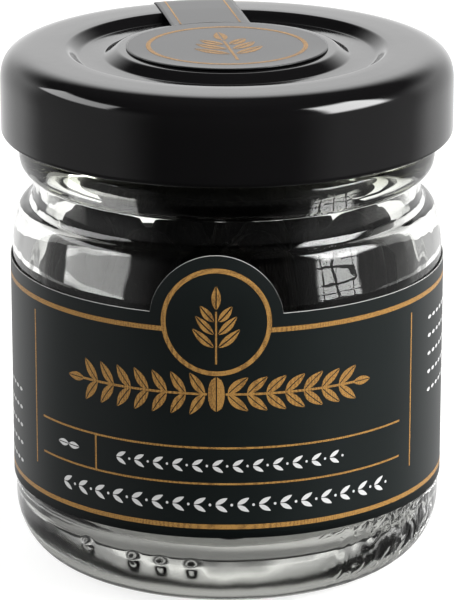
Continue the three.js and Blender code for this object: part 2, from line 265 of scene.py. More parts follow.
def lightRoom(room):
    # Light by direction: angle from the front = atan2(x, -y), angle above the level = asin(z), in degrees.
    world = bpy.data.worlds.new("room")
    bpy.context.scene.world = world
    world.use_nodes = True
    tree = world.node_tree
    tree.nodes.clear()
    direction = addNode(tree, "ShaderNodeTexCoord").outputs["Generated"]
    parts = addNode(tree, "ShaderNodeSeparateXYZ", {"Vector": direction}).outputs
    toDegrees = 180 / math.pi
    turn = maths(tree, "ARCTAN2", parts["X"], maths(tree, "MULTIPLY", parts["Y"], -1.0))
    turn = maths(tree, "MULTIPLY", turn, toDegrees)
    rise = maths(tree, "MULTIPLY", maths(tree, "ARCSINE", parts["Z"]), toDegrees)
    away = maths(tree, "ABSOLUTE", turn)
    side = rangeOf(tree, away, *room["sideFrom"], room["front"], room["front"] + room["side"])
    back = rangeOf(tree, away, *room["backFrom"], 0.0, room["back"])
    behind = rangeOf(tree, away, *room["behindFrom"], 0.0, room["behind"])
    behind = maths(tree, "MULTIPLY", behind, rangeOf(tree, rise, *room["behindFoot"]))
    sweep = maths(tree, "ADD", maths(tree, "ADD", side, back), behind)
    fade = rangeOf(tree, rise, *room["sweepTop"], 1.0, room["above"])
    fade = maths(tree, "MULTIPLY", fade, rangeOf(tree, rise, *room["tableEdge"], room["below"], 1.0))
    total = maths(tree, "MULTIPLY", sweep, fade)
    clouds = {"Vector": direction, "Scale": room["wobbleScale"], "Detail": 2.0}
    wobble = maths(tree, "SUBTRACT", addNode(tree, "ShaderNodeTexNoise", clouds).outputs["Fac"], 0.5)
    inner = 0.0
    for name in ("leftWindow", "rightSky", "leftWall", "rightWindow"):
        window = room[name]
        soft = window["soft"]
        edges = []
        for value, (low, high) in ((turn, window["across"]), (rise, window["up"])):
            edges.append(rangeOf(tree, value, low - soft, low + soft))
            edges.append(rangeOf(tree, value, high - soft, high + soft, 1.0, 0.0))
        shape = edges[0]
        for edge in edges[1:]:
            shape = maths(tree, "MULTIPLY", shape, edge)
        light = maths(tree, "MULTIPLY", shape, window["light"])
        if name == "rightWindow":  # glazing bars, a little crooked
            for value, every in zip((turn, rise), room["barEvery"]):
                crooked = maths(tree, "MULTIPLY_ADD", wobble, room["barWobble"], value)
                along = maths(tree, "FRACT", maths(tree, "DIVIDE", crooked, every))
                bar = maths(tree, "GREATER_THAN", along, room["barWidth"])
                light = maths(tree, "MULTIPLY", light, maths(tree, "MAXIMUM", bar, room["barLight"]))
        if name == "leftWall":  # a brighter slanted bar across it
            slanted = maths(tree, "MULTIPLY_ADD", turn, room["barSlant"], rise)
            low, high = room["slantedBar"]
            above = rangeOf(tree, slanted, high, high + 1, 1.0, 0.0)
            bar = maths(tree, "MULTIPLY", rangeOf(tree, slanted, low, low + 1), above)
            bar = maths(tree, "MULTIPLY_ADD", bar, room["slantedLight"], 1.0)
            light = maths(tree, "MULTIPLY", light, bar)
        if name in ("leftWall", "rightWindow"):
            inner = maths(tree, "ADD", light, inner)
        else:
            total = maths(tree, "ADD", total, light)
    path = addNode(tree, "ShaderNodeLightPath").outputs
    fill = rangeOf(tree, away, *room["fillFades"], room["fill"], room["fillBehind"])
    fill = maths(tree, "MULTIPLY", fill, path["Is Diffuse Ray"])
    through = room["throughGlass"]
    dimmed = maths(tree, "MULTIPLY", total, rangeOf(tree, rise, *through["dimFrom"], 1.0, through["dim"]))
    gathered = maths(tree, "ADD", dimmed, rangeOf(tree, away, *through["glowFrom"], 0.0, through["glow"]))
    noMattBounce = maths(tree, "LESS_THAN", path["Diffuse Depth"], 0.5)
    gathered = maths(tree, "MULTIPLY_ADD", inner, noMattBounce, gathered)
    total = addNode(tree, "ShaderNodeMix", {0: path["Is Transmission Ray"], 2: total, 3: gathered}).outputs[0]
    total = maths(tree, "ADD", total, fill)
    lit = addNode(tree, "ShaderNodeBackground", {"Strength": total}).outputs[0]
    plain = addNode(tree, "ShaderNodeBackground", {"Color": (1, 1, 1, 1), "Strength": 1.0}).outputs[0]
    shown = addNode(tree, "ShaderNodeMixShader", {0: path["Is Camera Ray"], 1: lit, 2: plain}).outputs[0]
    tree.links.new(shown, addNode(tree, "ShaderNodeOutputWorld").inputs["Surface"])


table = {
    "half": 1.5, "dark": (0.33, 0.33, 0.32), "pale": (0.37, 0.37, 0.36), "cameraGlow": 0.8,
    # as seen through the glass, in millimetres: dark where it is far and to the front, brighter behind
    "farFrom": (40, 75), "frontFade": (-25, 15), "farColour": (0.01, 0.01, 0.01),
    "nearGlow": 0.18, "behindGlow": 0.7, "behindFrom": (25, 70),
}


def layFloor(s):
    # A pale table that glows for the camera. Glossy rays skip it, so the lid shows the dark room in front.
    # Through the glass it glows near the jar and behind, and is dark in front, where it would veil the beans.
    half = s["half"]
    corners = [(-half, -half, 0), (half, -half, 0), (half, half, 0), (-half, half, 0)]
    mesh = bpy.data.meshes.new("floor")
    mesh.from_pydata(corners, [], [(0, 1, 2, 3)])
    floor = bpy.data.objects.new("floor", mesh)
    bpy.context.scene.collection.objects.link(floor)
    pale, tree, shader = newFinish("paleTable", s["pale"], 0.7, Emission_Color=(1, 1, 1, 1))
    place = placeOn(tree)
    top = mixColours(tree, noiseOn(tree, place, 9.0), s["dark"], s["pale"])
    path = addNode(tree, "ShaderNodeLightPath").outputs
    distance = addNode(tree, "ShaderNodeVectorMath", {0: place}, operation="LENGTH").outputs["Value"]
    along = addNode(tree, "ShaderNodeSeparateXYZ", {"Vector": place}).outputs["Y"]
    toFront = rangeOf(tree, along, *s["frontFade"], 1.0, 0.0)
    far = maths(tree, "MULTIPLY", rangeOf(tree, distance, *s["farFrom"]), toFront)
    far = maths(tree, "MULTIPLY", path["Is Transmission Ray"], far)
    tree.links.new(mixColours(tree, far, top, s["farColour"]), shader.inputs["Base Color"])
    seen = maths(tree, "MULTIPLY", path["Is Camera Ray"], s["cameraGlow"])
    near = maths(tree, "SUBTRACT", path["Is Transmission Ray"], far)
    glow = rangeOf(tree, along, *s["behindFrom"], s["nearGlow"], s["behindGlow"])
    near = maths(tree, "MULTIPLY", near, glow)
    tree.links.new(maths(tree, "ADD", near, seen), shader.inputs["Emission Strength"])
    mesh.materials.append(pale)
    floor.visible_glossy = False


lightRoom(room)
layFloor(table)
scene = bpy.context.scene
scene.view_settings.view_transform = "Standard"
scene.view_settings.look = "None"
print("room lit")


# Glass jar

glass = {
    "bodyRadius": 21.63, "heelRadius": 16.8, "heelHeight": 6, "bearingInnerRadius": 15.4, "pushUpHeight": 1.3,
    "shoulderFoot": 30.6, "shoulderTop": 36.6, "shoulderRoundness": 2.44,
    "grooveTopRadius": 20, "grooveRadius": 19.45,
    "beadRadius": 20.85, "beadHeight": 41.6, "beadHalfHeight": 1.6,
    "finishRadius": 20.2, "rimTop": 50.8, "rimRound": 0.9,
    "innerRadius": 19.4, "floorHeight": 4.2, "floorCorner": 4.4,
    "mouthRadius": 17.9, "innerShoulderFoot": 30.2, "innerShoulderTop": 38.2,
    "waviness": 0.16,  # how far the inner wall wanders inwards
    "columns": 300, "rounding": 0.12,
    "threadCount": 4, "threadLead": 7.8, "threadSpan": 60, "threadStart": -11, "threadRadius": 21.3,
    "threadFoot": 45.15, "threadHeight": 1.95, "threadFade": 8, "firstLugAngle": 37.5,
    # mould dots on the heel: [degrees from the front, height]
    "dots": [(-39.5, 5.6), (-25.2, 5.1), (-17.5, 4.95), (-9.2, 4.9)],
    "dotRadius": 0.55, "dotHeight": 0.34, "dotColumns": (-41.4, -7.2, 0.34),  # from, to and step in degrees
    "threadBand": (43.6, 49.9),
    "colour": (0.985, 0.99, 0.972), "thick": (0.88, 0.89, 0.83), "neckColour": (0.68, 0.72, 0.5),
    "baseHeights": (2.5, 6.5), "neckHeights": (40.5, 43.5),  # where the base's tint ends and the neck's starts
    "baseRoughness": 0.14,  # the heel is cold and a little stippled
    # cold swirls low on the right, which fade in along X, towards -Y and downwards
    "swirlAcross": (9, 13), "swirlForward": (-4, -8), "swirlDown": (8.5, 6.5),
    "swirlSize": 2.2, "swirlDepth": 3.2,
}


def glassOutline(g):
    # From the middle of the underside up the outside, over the rim and down the inside to the floor.
    a = np.linspace(0, math.pi / 2, 48)
    power = 2 / g["shoulderRoundness"]
    shoulder = np.stack([
        g["grooveTopRadius"] + (g["bodyRadius"] - g["grooveTopRadius"]) * np.cos(a) ** power,
        g["shoulderFoot"] + (g["shoulderTop"] - g["shoulderFoot"]) * np.sin(a) ** power,
    ], axis=-1)
    blend = np.linspace(0, 1, 40)
    innerShoulder = np.stack([
        g["mouthRadius"] + (g["innerRadius"] - g["mouthRadius"]) * (1 - np.cos(math.pi * blend)) / 2,
        g["innerShoulderTop"] + (g["innerShoulderFoot"] - g["innerShoulderTop"]) * blend,
    ], axis=-1)
    rim, corner = g["rimRound"], g["floorCorner"]
    bead, beadHalf = g["beadRadius"] - g["grooveTopRadius"], g["beadHalfHeight"]
    beadFoot = g["beadHeight"] - beadHalf
    return np.vstack([
        [[0, g["pushUpHeight"]], [8, g["pushUpHeight"] * 0.8], [13, g["pushUpHeight"] * 0.4]],
        [[g["bearingInnerRadius"], 0]],
        arc(g["heelRadius"], g["heelHeight"], g["bodyRadius"] - g["heelRadius"], g["heelHeight"], -90, 0),
        shoulder,
        [[g["grooveRadius"] + 0.1, g["shoulderTop"] + 0.6], [g["grooveRadius"], g["shoulderTop"] + 1.6]],
        [[g["grooveRadius"] + 0.15, beadFoot - 0.3]],
        arc(g["grooveTopRadius"], g["beadHeight"], bead, beadHalf, -90, 60),
        [[g["finishRadius"], g["beadHeight"] + beadHalf]],
        arc(g["finishRadius"] - rim, g["rimTop"] - rim, rim, rim, 0, 90),
        arc(g["mouthRadius"] + rim, g["rimTop"] - rim, rim, rim, 90, 180),
        innerShoulder,
        arc(g["innerRadius"] - corner, g["floorHeight"] + corner, corner, corner, 0, -90),
        [[0, g["floorHeight"]]],
    ])


def threadSwell(g, angle, height):
    # Section of a thread by its height above the thread's foot, which climbs with the angle and comes down
    # again over the plain glass between two threads; both ends fade into the neck.
    spacing = 360 / g["threadCount"]
    along = (np.degrees(angle) - g["firstLugAngle"] - g["threadStart"]) % spacing + g["threadStart"]
    end = g["threadStart"] + g["threadSpan"]
    foot = g["threadFoot"] + along / 360 * g["threadLead"]
    inside = np.clip(np.minimum(along - g["threadStart"], end - along) / g["threadFade"], 0, 1)
    section = np.interp(height - foot, [0, 0.35, 0.7, 1.05, g["threadHeight"]], [0, 0.85, 1, 1, 0])
    return (g["threadRadius"] - g["finishRadius"]) * section * inside


def fineGlassStep(r, h):
    # Small rows on the outside where the threads and the mould dots are.
    outside = r > 19.9
    threads = outside & (h > 44.4) & (h < 50)
    dots = (r > 20.5) & (h > 5.0) & (h < 7.9)
    return np.where(threads, 0.22, np.where(dots, 0.13, np.inf))


def glassShape(g):
    r, h = softened(glassOutline(g), g["rounding"], 1.6, 0.13, fineGlassStep)
    step = 360 / g["columns"]
    turns = np.arange(-180, 180, step)
    dotted = np.arange(*g["dotColumns"])
    turns = np.r_[turns[turns < dotted[0] - step / 2], dotted, turns[turns > dotted[-1] + step / 2]]
    angles = np.radians(turns)
    rim = np.argmax(h)
    outside = (np.arange(len(r)) < rim) & (r > 19.9)
    low, high = g["threadBand"]
    neck = (outside & (h > low) & (h < high))[:, None]
    r2, h2 = np.repeat(r[:, None], len(angles), 1), np.repeat(h[:, None], len(angles), 1)
    r2 = r2 + np.where(neck, threadSwell(g, angles[None, :], h2), 0)
    inner = (np.arange(len(r)) > rim)[:, None] * smoothStep(h2, 5, 12) * (1 - smoothStep(h2, 40, 46))
    wave = np.sin(2 * angles + 0.7)[None, :] * 0.6 + np.sin(5 * angles + 0.22 * h2 + 2.0) * 0.4
    r2 = r2 - inner * g["waviness"] * (0.5 + 0.5 * wave)
    for degrees, height in g["dots"]:
        aside = g["bodyRadius"] * (angles[None, :] - math.radians(degrees))
        away = np.hypot(aside, h2 - height) / g["dotRadius"]
        r2 = r2 + np.where(outside[:, None], g["dotHeight"] * np.exp(-away ** 2.4), 0)
    return turnedShape(r2, h2, angles)


def glassFinish(g):
    # Clear walls, olive where the glass is thick, with a slow ripple and one patch of cold swirls.
    clear, tree, shader = newFinish("clearGlass", g["colour"], 0.0, Transmission_Weight=1.0, IOR=1.5)
    parts = addNode(tree, "ShaderNodeSeparateXYZ", {"Vector": placeOn(tree)}).outputs
    base = rangeOf(tree, parts["Z"], *g["baseHeights"], 1.0, 0.0)
    neck = rangeOf(tree, parts["Z"], *g["neckHeights"])
    tinted = mixColours(tree, base, g["colour"], g["thick"])
    tree.links.new(mixColours(tree, neck, tinted, g["neckColour"]), shader.inputs["Base Color"])
    across = rangeOf(tree, parts["X"], *g["swirlAcross"])
    patch = maths(tree, "MULTIPLY", across, rangeOf(tree, parts["Z"], *g["swirlDown"]))
    patch = maths(tree, "MULTIPLY", patch, rangeOf(tree, parts["Y"], *g["swirlForward"]))
    stippled = maths(tree, "MULTIPLY", base, maths(tree, "SUBTRACT", 1.0, patch))
    tree.links.new(maths(tree, "MULTIPLY", stippled, g["baseRoughness"]), shader.inputs["Roughness"])
    swirls = noiseOn(tree, placeOn(tree, (1, 1, 0.6)), g["swirlSize"], 1.0, 1.4)
    ripple = noiseOn(tree, placeOn(tree, (1, 1, 0.4)), 3.5, 1.0)
    total = maths(tree, "MULTIPLY_ADD", maths(tree, "MULTIPLY", swirls, patch), g["swirlDepth"], ripple)
    bumpFrom(tree, shader, total, 0.35, 0.25)
    return clear


makePiece("glassJar", *glassShape(glass), [glassFinish(glass)], "jar", "clear_glass", ["glass_jar"])
print("glass jar made")


# Lid: pressed steel with a black enamel, its hem rolled in and pressed into four lugs

lid = {
    "radius": 22.6, "bottom": 43.65, "sheet": 0.3, "crestHeight": 52.05, "crestInner": 16,
    "shoulderAcross": 3.4, "shoulderDown": 3.35, "shoulderRoundness": 2.8,
    "channelOuter": 14.75, "channelInner": 12.25, "channelHeight": 51.25,
    "buttonRadius": 10.9, "buttonHeight": 52,
    "curlRadius": 0.5, "curlInner": 21.65, "lugHalfAngle": 8, "lugFade": 7.5, "lugTip": 20.65,
    "columns": 288, "rounding": 0.11,
    "colour": (0.0045, 0.0043, 0.0046), "gloss": 0.07,
}


def lidShoulder(s, offset, steps=48):
    # Superellipse from the crest down to the skirt, moved out by an offset: sin^(2/n) across, cos^(2/n) up.
    a = np.linspace(0, math.pi / 2, steps + 1)
    power = 2 / s["shoulderRoundness"]
    return np.stack([
        s["radius"] - s["shoulderAcross"] + (s["shoulderAcross"] + offset) * np.sin(a) ** power,
        s["crestHeight"] - s["shoulderDown"] + (s["shoulderDown"] + offset) * np.cos(a) ** power,
    ], axis=-1)


def lidOutline(s):
    # From the middle of the top out over the relief, down the skirt, round the hem and back underneath.
    crest, channel, button = s["crestHeight"], s["channelHeight"], s["buttonHeight"]
    curl = s["curlRadius"]
    return np.vstack([
        [[0, button], [s["buttonRadius"], button], [s["buttonRadius"] + 0.25, button - 0.1]],
        [[s["channelInner"] - 0.2, channel + 0.1], [s["channelInner"], channel]],
        [[s["channelOuter"], channel], [s["channelOuter"] + 0.25, channel + 0.1]],
        [[s["crestInner"] - 0.25, crest - 0.1], [s["crestInner"], crest]],
        lidShoulder(s, 0),
        arc(s["radius"] - curl, s["bottom"] + curl, curl, curl, 0, -90),
        [[s["curlInner"] + 0.15, s["bottom"] + 0.15], [s["curlInner"], s["bottom"] + curl]],
        [[s["curlInner"] + 0.1, s["bottom"] + 0.95], [s["radius"] - s["sheet"], s["bottom"] + 1.3]],
        lidShoulder(s, -s["sheet"])[::-1],
        [[s["crestInner"] + 0.1, crest - s["sheet"]], [s["channelOuter"] + 0.15, channel - s["sheet"]]],
        [[s["channelInner"] - 0.1, channel - s["sheet"]], [s["buttonRadius"], button - s["sheet"]]],
        [[0, button - s["sheet"]]],
    ])


def lidShape(s):
    # The hem's inner side moves in by the press, which is 1 at a lug and fades to 0 on both sides of it.
    r, h = softened(lidOutline(s), s["rounding"], 1.4, 0.12)
    angles = np.radians(np.arange(s["columns"]) * 360 / s["columns"])
    spacing = 360 / glass["threadCount"]
    turn = np.degrees(angles) - glass["firstLugAngle"]
    away = np.abs(turn - spacing * np.round(turn / spacing))
    press = 1 - smoothStep(away, s["lugHalfAngle"], s["lugHalfAngle"] + s["lugFade"])
    inside = smoothStep(s["radius"] - 0.4 - r, 0, 0.45) * (r > 20)
    hem = inside * (1 - smoothStep(h, s["bottom"] + 1.0, s["bottom"] + 1.4))
    r2 = r[:, None] - (s["curlInner"] - s["lugTip"]) * hem[:, None] * press[None, :]
    return turnedShape(r2, np.repeat(h[:, None], len(angles), 1), angles)


def lidFinish(s):
    enamel, tree, shader = newFinish("blackEnamel", s["colour"], s["gloss"], IOR=1.5)
    place = placeOn(tree)
    smear = rangeOf(tree, noiseOn(tree, place, 6.0, 3.0), 0.35, 0.75, s["gloss"] * 0.75, s["gloss"] * 1.9)
    tree.links.new(smear, shader.inputs["Roughness"])
    peel = noiseOn(tree, place, 1.3, 1.0)
    bumpFrom(tree, shader, peel, 0.1, 0.03)
    return enamel


makePiece("lidShell", *lidShape(lid), [lidFinish(lid)], "lid", "lid_enamel", ["lid_shell"])
print("lid made")


# Sealing ring inside the lid

liner = {"inner": 18, "outer": 20.3, "bottom": 50.87, "top": 51.42, "round": 0.12, "columns": 160}


def linerShape(s):
    # A flat ring with rounded edges, its section run round the axis.
    edge = s["round"]
    section = np.vstack([
        arc(s["outer"] - edge, s["bottom"] + edge, edge, edge, -90, 0, 4),
        arc(s["outer"] - edge, s["top"] - edge, edge, edge, 0, 90, 4),
        arc(s["inner"] + edge, s["top"] - edge, edge, edge, 90, 180, 4),
        arc(s["inner"] + edge, s["bottom"] + edge, edge, edge, 180, 270, 4),
    ])
    angles = np.radians(np.arange(s["columns"]) * 360 / s["columns"])
    points = around(angles[None, :], section[:, :1], section[:, 1:])
    return points.reshape(-1, 3), [gridFaces(len(section), s["columns"], wrapRows=True, wrapColumns=True)]


def linerFinish():
    compound, tree, shader = newFinish("sealingCompound", (0.48, 0.45, 0.4), 0.55)
    grain = noiseOn(tree, placeOn(tree), 0.8, 3.0)
    colour = mixColours(tree, grain, (0.42, 0.39, 0.34), (0.54, 0.51, 0.46))
    tree.links.new(colour, shader.inputs["Base Color"])
    bumpFrom(tree, shader, grain, 0.3, 0.05)
    return compound


makePiece("lidLiner", *linerShape(liner), [linerFinish()], "liner", "sealing_compound", ["lid_liner"])
print("sealing ring made")


# Paper and ink

def paperFinish(name, colour, roughness, fibre=0.25, **sockets):
    # Satin printed paper: a slow cloud in the ink, and fibres in the bump.
    ink, tree, shader = newFinish(name, colour, roughness, **sockets)
    place = placeOn(tree)
    cloud = noiseOn(tree, place, 5.0, 2.0)
    dark, light = tuple(c * 0.85 for c in colour), tuple(c * 1.18 for c in colour)
    tree.links.new(mixColours(tree, cloud, dark, light), shader.inputs["Base Color"])
    bumpFrom(tree, shader, noiseOn(tree, place, fibre, 3.0), 0.12, 0.02)
    return ink


def goldFinish(name, colour, shade, roughness):
    # Flat ink laid in a fine screen: small dots of the colour on its darker shade.
    ink, tree, shader = newFinish(name, colour, roughness, Metallic=0.1)
    screen = {"Vector": placeOn(tree), "Scale": 8.5, "Randomness": 0.35}
    dots = addNode(tree, "ShaderNodeTexVoronoi", screen).outputs["Distance"]
    share = rangeOf(tree, dots, 0.36, 0.62)
    tree.links.new(mixColours(tree, share, colour, shade), shader.inputs["Base Color"])
    return ink


charcoalPaper = paperFinish("charcoalPaper", (0.0052, 0.0088, 0.0086), 0.44, Specular_IOR_Level=0.4)
whitePaper = paperFinish("whitePaper", (0.4, 0.4, 0.39), 0.7)
goldInk = goldFinish("goldInk", (0.5, 0.265, 0.066), (0.2, 0.1, 0.024), 0.45)
paleInk = paperFinish("paleInk", (0.62, 0.62, 0.62), 0.5)

label = {
    "gap": 0.08, "thickness": 0.14, "bottom": 8.2, "top": 31, "halfLength": 64, "centre": -0.033,
    "archAlong": -0.32, "archRadius": 6.5, "archHeight": 30.2, "bendHeight": 31.5, "bend": 0.03,
    "paperEdge": 0.035, "stations": 520,
    "thickRule": 0.48, "thinRule": 0.2, "topRule": 29.4, "bottomRule": 9.38,
    "upperThin": 17.51, "lowerThin": 13.81, "thinSpan": (-0.98, 0.89), "divider": -0.6268,
    "uprights": (-1.0439, 0.9779), "uprightSpan": (12.2, 28.2), "backUprights": 39.5,
    "ringRadius": 5.1, "ringWidth": 0.46, "inkLift": 0.012,
}


def paperRadius(s, height):
    # Inner radius of the paper: on the glass, then leaning in over the shoulder.
    return glass["bodyRadius"] + s["gap"] - s["bend"] * np.maximum(0, height - s["bendHeight"]) ** 2


def labelShape(s):
    # Along the glass by up the paper; the top edge is level, with the arch's circle over the front.
    foot = math.sqrt(s["archRadius"] ** 2 - (s["top"] - s["archHeight"]) ** 2)
    arch = -np.cos(np.linspace(0, math.pi, 72)) * foot + s["archAlong"]
    plain = np.linspace(-s["halfLength"], s["halfLength"], s["stations"])
    plain = plain[np.abs(plain - s["archAlong"]) > foot + 0.02]
    along = np.sort(np.r_[plain, arch, s["archAlong"] - foot - 0.012, s["archAlong"] + foot + 0.012])
    across = s["archRadius"] ** 2 - (along - s["archAlong"]) ** 2
    inArch = np.abs(along - s["archAlong"]) <= foot + 1e-6
    edge = np.where(inArch, s["archHeight"] + np.sqrt(np.maximum(across, 0)), s["top"])[:, None]
    shares = np.r_[np.linspace(0, 1, 18)[:-1], 1][None, :]
    heights = s["bottom"] + shares * (edge - s["paperEdge"] - s["bottom"])
    heights = np.hstack([heights, edge])
    angle = (s["centre"] + along / glass["bodyRadius"])[:, None]
    inner = around(angle, paperRadius(s, heights), heights)
    outer = around(angle, paperRadius(s, heights) + s["thickness"], heights)
    stations, rows = heights.shape
    column = np.tile(np.arange(2 * rows), stations - 1)
    printed = column < rows - 2  # the last step up the outside is the bare cut edge
    finishOf = np.r_[np.where(printed, 0, 1), np.ones(2 * rows - 2)]
    return *sheetShape(outer, inner), finishOf


labelPoints, labelFaces, labelFinishOf = labelShape(label)
makePiece(
    "jarLabel", labelPoints, labelFaces, [charcoalPaper, whitePaper], "jar", "label_paper", ["jar_label"],
    finishOf=labelFinishOf,
)
print("label made")


# Ornament: flat strips of ink in [along, up], bent onto the paper

def stroke(path, width):
    # Each point of the path moved half the width to both sides of its heading.
    path = np.asarray(path, float)
    heading = np.gradient(path, axis=0)
    heading /= np.linalg.norm(heading, axis=1, keepdims=True)
    half = np.broadcast_to(width, len(path))[:, None] / 2
    side = np.stack([-heading[:, 1], heading[:, 0]], axis=-1) * half
    return np.stack([path - side, path + side], axis=1)


def ringStroke(centre, radius, width):
    # A circle whose first and last cut lie on each other.
    a = np.linspace(0, 2 * math.pi, 97)
    made = stroke(np.stack([centre[0] + radius * np.cos(a), centre[1] + radius * np.sin(a)], axis=-1), width)
    made[0] = made[-1] = (made[0] + made[-1]) / 2
    return made


def rule(start, end, width, spacing=0.6):
    steps = max(2, int(math.dist(start, end) / spacing))
    return stroke(np.linspace(start, end, steps + 1), width)


def headingOf(aim):
    # Unit vectors ahead and to the left, for an aim in degrees.
    ahead = np.array([math.cos(math.radians(aim)), math.sin(math.radians(aim))])
    return ahead, np.array([-ahead[1], ahead[0]])


def leaf(foot, aim, length, width, bend=0.0, vein=0.1):
    # Two halves beside a bare vein: half width = w/2 sin(pi t)^0.8 (1.15 - 0.3 t), the midline bent by b t^2.
    t = np.linspace(0.02, 0.98, 11)[:, None]
    ahead, side = headingOf(aim)
    middle = np.asarray(foot) + length * (t * ahead + bend * t ** 2 * side)
    half = width / 2 * np.sin(math.pi * t) ** 0.8 * (1.15 - 0.3 * t)
    inner = np.minimum(vein / 2, half * 0.6)
    return [np.stack([middle + sign * inner * side, middle + sign * half * side], axis=1) for sign in (-1, 1)]


def pod(centre, aim, length, width, vein=0.0):
    # A closed seed: two leaf halves with no vein, blunter at both ends.
    t = np.linspace(-1, 1, 13)[:, None]
    ahead, side = headingOf(aim)
    middle = np.asarray(centre) + length / 2 * t * ahead
    half = width / 2 * np.maximum(1 - t ** 2, 0.0) ** 0.5 + 0.005
    inner, outer = vein / 2 * side, (vein / 2 + half) * side
    return [np.stack([middle + sign * inner, middle + sign * outer], axis=1) for sign in (-1, 1)]


def garland(centre, pairs, pitch, length, width, spread, stem):
    # Leaf pairs that point outwards on both sides of a seed in the middle, along one stem.
    made = pod(centre, 90, length * 1.35, width * 1.5, 0.12)
    for sign in (-1, 1):
        for i in range(pairs):
            foot = (centre[0] + sign * (width * 1.1 + pitch * i), centre[1])
            aim = 0 if sign > 0 else 180
            for tilt in (-spread, spread):
                made += leaf(foot, aim + tilt, length, width, bend=0.12 * sign * (1 if tilt < 0 else -1))
        tip = (centre[0] + sign * (width * 1.1 + pitch * pairs), centre[1])
        made += leaf((tip[0] - sign * 0.2, tip[1]), 0 if sign > 0 else 180, length * 0.8, width * 0.9)
        made.append(rule((centre[0] + sign * width * 0.9, centre[1]), tip, stem))
    return made


def sprig(centre, size, aim=90):
    # One upright twig: a stem, pairs of leaves that get shorter upwards, and a leaf at the tip.
    turn = math.radians(aim - 90)
    rotate = np.array([[math.cos(turn), -math.sin(turn)], [math.sin(turn), math.cos(turn)]])

    def at(x, y):
        return np.asarray(centre) + size * (rotate @ np.array([x, y]))

    made = [stroke(np.stack([at(0, y) for y in np.linspace(-0.95, 0.34, 12)]), 0.045 * size)]
    for y, length, tilt in ((-0.58, 0.68, 36), (-0.26, 0.62, 40), (0.05, 0.5, 44)):
        for sign in (-1, 1):
            foot, angle = at(0.05 * sign, y + 0.04), aim - sign * (90 - tilt)
            made += leaf(foot, angle, length * size, 0.21 * size, bend=0.1 * sign, vein=0.03 * size)
    made += leaf(at(0, 0.38), aim, 0.58 * size, 0.22 * size, vein=0.03 * size)
    return made


def leafRow(start, end, height, pitch, size):
    # At every pitch a pair of small leaves opens from one foot, with a berry before the next pair.
    made = []
    for x in np.arange(start, end, pitch):
        for tilt in (-30, 30):
            made += leaf((x, height + 0.05 * math.copysign(1, tilt)), tilt, size, size * 0.34, vein=0.0)
        made += pod((x + size + 0.3 * (pitch - size), height), 0, size * 0.2, size * 0.2)
    return made


def lozenges(start, end, height, pitch, length, width):
    return [strip for x in np.arange(start, end, pitch) for strip in pod((x, height), 0, length, width)]


def printPiece(name, strips, onto, finish, body, slotName):
    # All strips as one mesh, flat shaded, with a hair of thickness, so that it is closed.
    points = np.vstack([strip.reshape(-1, 2) for strip in strips])
    faces, offset = [], 0
    for strip in strips:
        rows, columns = strip.shape[:2]
        faces.append(gridFaces(rows, columns) + offset)
        offset += rows * columns
    quads = np.vstack(faces)
    flat = points[quads]
    a, b = flat[:, 1] - flat[:, 0], flat[:, 3] - flat[:, 0]
    c, d = flat[:, 3] - flat[:, 2], flat[:, 1] - flat[:, 2]
    area = a[:, 0] * b[:, 1] - a[:, 1] * b[:, 0] + c[:, 0] * d[:, 1] - c[:, 1] * d[:, 0]
    quads = np.where((area < 0)[:, None], quads[:, ::-1], quads)
    piece = makePiece(name, onto(points), [quads], [finish], body, slotName)
    piece.data.polygons.foreach_set("use_smooth", np.zeros(len(quads), dtype=bool))
    wall = piece.modifiers.new("ink", "SOLIDIFY")
    wall.thickness, wall.offset = 0.008 * millimetre, -1


def ontoLabel(points):
    # Angle = label's centre + along / glass radius; radius = the paper's face and a hair more.
    along, height = points[:, 0], points[:, 1]
    radius = paperRadius(label, height) + label["thickness"] + label["inkLift"]
    return around(label["centre"] + along / glass["bodyRadius"], radius, height)


def alongFor(angle):
    return (angle - label["centre"]) * glass["bodyRadius"]


def labelRules(s):
    # Two thick rules round the whole label, the upper one broken by the ring; thin rules and uprights.
    end = s["halfLength"] - 0.02
    ring = s["archAlong"]
    reach = s["ringRadius"]
    left, right = (alongFor(angle) for angle in s["uprights"])
    thinLeft, thinRight = (alongFor(angle) for angle in s["thinSpan"])
    low, high = s["uprightSpan"]
    made = [rule((-end, s["bottomRule"]), (end, s["bottomRule"]), s["thickRule"])]
    made.append(rule((-end, s["topRule"]), (ring - reach, s["topRule"]), s["thickRule"]))
    made.append(rule((ring + reach, s["topRule"]), (end, s["topRule"]), s["thickRule"]))
    for x in (left, right, left - s["backUprights"], right + s["backUprights"]):
        made.append(rule((x, low), (x, high), s["thinRule"]))
    for height in (s["upperThin"], s["lowerThin"]):
        made.append(rule((thinLeft, height), (thinRight, height), s["thinRule"]))
    divider = alongFor(s["divider"])
    made.append(rule((divider, s["lowerThin"]), (divider, s["upperThin"]), s["thinRule"]))
    made.append(ringStroke((ring, s["archHeight"]), reach, s["ringWidth"]))
    return made


def labelGold(s):
    made = labelRules(s)
    made += sprig((s["archAlong"], s["archHeight"] - 0.25), 4.1)
    made += garland((-0.3, 23.0), pairs=7, pitch=1.86, length=2.6, width=0.98, spread=48, stem=0.24)
    for x in (-43.5, 43.5):
        made += sprig((x, 21.0), 5.4)
    return made


